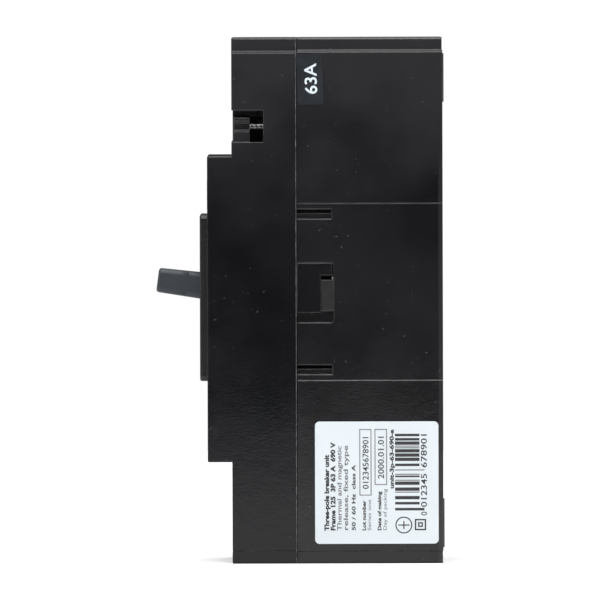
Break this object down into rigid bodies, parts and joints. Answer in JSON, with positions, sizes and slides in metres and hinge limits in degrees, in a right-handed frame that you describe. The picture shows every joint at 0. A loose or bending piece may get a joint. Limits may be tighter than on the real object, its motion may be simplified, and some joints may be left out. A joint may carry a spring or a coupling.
{
  "type": "molded case circuit breaker",
  "caption": "Molded case circuit breaker: black case and cover, toggle handle in a raised bezel, open screw-terminal bays at each end, contacts, arc chutes and trip mechanism inside.",
  "frame": {"origin": "centre of the four-screw panel pattern, on the back mounting plane", "axes": "+Y out of the back towards the panel, so the handle is on the -Y side; +Z towards the line terminals (up when mounted); +X to the right seen from the front"},
  "size_m": [0.0751, 0.0712, 0.13],
  "materials": {
    "molding": "near-black phenolic molding, semi-matt, faint filler mottling",
    "cover_molding": "near-black phenolic molding, semi-matt",
    "door_molding": "dark grey nylon molding",
    "handle_plastic": "dark blue-grey nylon, fine mold texture",
    "insulator": "red-brown glass-filled thermoset",
    "fibre": "grey-brown vulcanised fibre sheet",
    "copper": "bare rolled copper with light tarnish",
    "braid_copper": "flexible copper braid",
    "silver": "silver alloy contact tip",
    "plated_steel": "zinc-plated steel",
    "arc_steel": "tin-plated steel sheet",
    "black_steel": "black oxidised steel screw",
    "spring_steel": "spring steel wire",
    "bimetal": "rolled bimetal strip",
    "red_plastic": "red nylon trip button",
    "white_label": "white self-adhesive label with grey-black print",
    "dark_label": "dark blue-grey sticker with pale print"
  },
  "bodies": {
    "case": {"base": "molding", "cover": "cover_molding", "accessory_cover": "door_molding", "cover_screws": "black_steel", "accessory_cover_screws": "plated_steel", "side_label": "white_label", "rating_sticker": "dark_label", "front_label": "white_label", "frame_right": "plated_steel", "frame_left": "plated_steel", "frame_spacer": "plated_steel", "frame_screws": "plated_steel", "cradle_pin": "plated_steel", "latch_pin": "plated_steel", "fixed_tips": "silver", "braids": "braid_copper", "arc_chute_walls": "fibre", "bimetals": "bimetal", "calibration_screws": "plated_steel", "magnet_yokes": "arc_steel", "armature_springs": "spring_steel", "terminal_screws": "plated_steel", "terminal_washers": "plated_steel", "terminal_spring_washers": "spring_steel", "terminal_nuts": "plated_steel", "trip_bar_spring": "spring_steel", "trip_button_spring": "spring_steel", "line_terminal_left": "copper", "load_terminal_left": "copper", "arc_plates_left": "arc_steel", "line_terminal_centre": "copper", "load_terminal_centre": "copper", "arc_plates_centre": "arc_steel", "line_terminal_right": "copper", "load_terminal_right": "copper", "arc_plates_right": "arc_steel"},
    "handle_group": {"handle": "handle_plastic", "handle_yoke": "plated_steel", "main_springs": "spring_steel"},
    "crossbar_group": {"crossbar": "insulator", "drive_pins": "plated_steel", "arm_pins": "plated_steel", "contact_springs": "spring_steel", "moving_tips": "silver", "moving_arm_left": "copper", "moving_arm_centre": "copper", "moving_arm_right": "copper"},
    "cradle_group": {"cradle": "plated_steel", "toggle_pin": "plated_steel"},
    "upper_link_group": {"upper_links": "plated_steel"},
    "lower_link_group": {"lower_links": "plated_steel", "knee_pin": "plated_steel"},
    "latch_group": {"latch": "plated_steel"},
    "trip_bar_group": {"trip_bar": "insulator"},
    "trip_button_group": {"trip_button": "red_plastic"},
    "armature_left_group": {"armature_left": "arc_steel"},
    "armature_centre_group": {"armature_centre": "arc_steel"},
    "armature_right_group": {"armature_right": "arc_steel"}
  },
  "joints": [
    {"name": "handle_throw", "type": "hinge", "parent": "case", "child": "handle_group", "pos_m": [0, -0.028, -0.00085], "axis": [-1, 0, 0], "range_deg": [-27.5, 12.5], "deforming": ["main_springs"]},
    {"name": "contact_swing", "type": "hinge", "parent": "case", "child": "crossbar_group", "pos_m": [0, -0.015, -0.01], "axis": [1, 0, 0], "range_deg": [-35, 0], "deforming": ["braids"]},
    {"name": "cradle_turn", "type": "hinge", "parent": "case", "child": "cradle_group", "pos_m": [0, -0.038, 0.009], "axis": [1, 0, 0], "range_deg": [0, 15.01]},
    {"name": "upper_link_turn", "type": "hinge", "parent": "cradle_group", "child": "upper_link_group", "pos_m": [0, -0.0433, -0.00304], "axis": [1, 0, 0], "range_deg": [-18.92, 0]},
    {"name": "lower_link_turn", "type": "hinge", "parent": "crossbar_group", "child": "lower_link_group", "pos_m": [0, -0.02205, -0.00517], "axis": [1, 0, 0], "range_deg": [0, 60.74]},
    {"name": "latch_turn", "type": "hinge", "parent": "case", "child": "latch_group", "pos_m": [0, -0.0375, -0.0235], "axis": [1, 0, 0], "range_deg": [-20.01, 0]},
    {"name": "trip_button_push", "type": "slide", "parent": "case", "child": "trip_button_group", "axis": [0, 1, 0], "range_m": [0, 0.0015], "stiffness_N_per_m": 300, "springref_m": -0.002, "deforming": ["trip_button_spring"]},
    {"name": "trip_bar_turn", "type": "hinge", "parent": "case", "child": "trip_bar_group", "pos_m": [0, -0.033, -0.027], "axis": [1, 0, 0], "range_deg": [0, 17], "stiffness_Nm_per_rad": 0.003, "springref_deg": -5.73, "deforming": ["trip_bar_spring"]},
    {"name": "armature_left_pull", "type": "hinge", "parent": "case", "child": "armature_left_group", "pos_m": [-0.025, -0.0125, -0.036], "axis": [-1, 0, 0], "range_deg": [0, 5], "stiffness_Nm_per_rad": 0.004, "springref_deg": -14.32, "deforming": ["armature_springs"]},
    {"name": "armature_centre_pull", "type": "hinge", "parent": "case", "child": "armature_centre_group", "pos_m": [0, -0.0125, -0.036], "axis": [-1, 0, 0], "range_deg": [0, 5], "stiffness_Nm_per_rad": 0.004, "springref_deg": -14.32},
    {"name": "armature_right_pull", "type": "hinge", "parent": "case", "child": "armature_right_group", "pos_m": [0.025, -0.0125, -0.036], "axis": [-1, 0, 0], "range_deg": [0, 5], "stiffness_Nm_per_rad": 0.004, "springref_deg": -14.32}
  ],
  "couplings": [
    {"joint": "cradle_turn", "follows": "contact_swing", "ratio": -0.42857},
    {"joint": "upper_link_turn", "follows": "contact_swing", "ratio": 0.53994},
    {"joint": "lower_link_turn", "follows": "contact_swing", "ratio": -1.735},
    {"joint": "latch_turn", "follows": "contact_swing", "ratio": 0.57143},
    {"joint": "trip_bar_turn", "follows": "trip_button_push", "rad_per_m": 195}
  ]
}
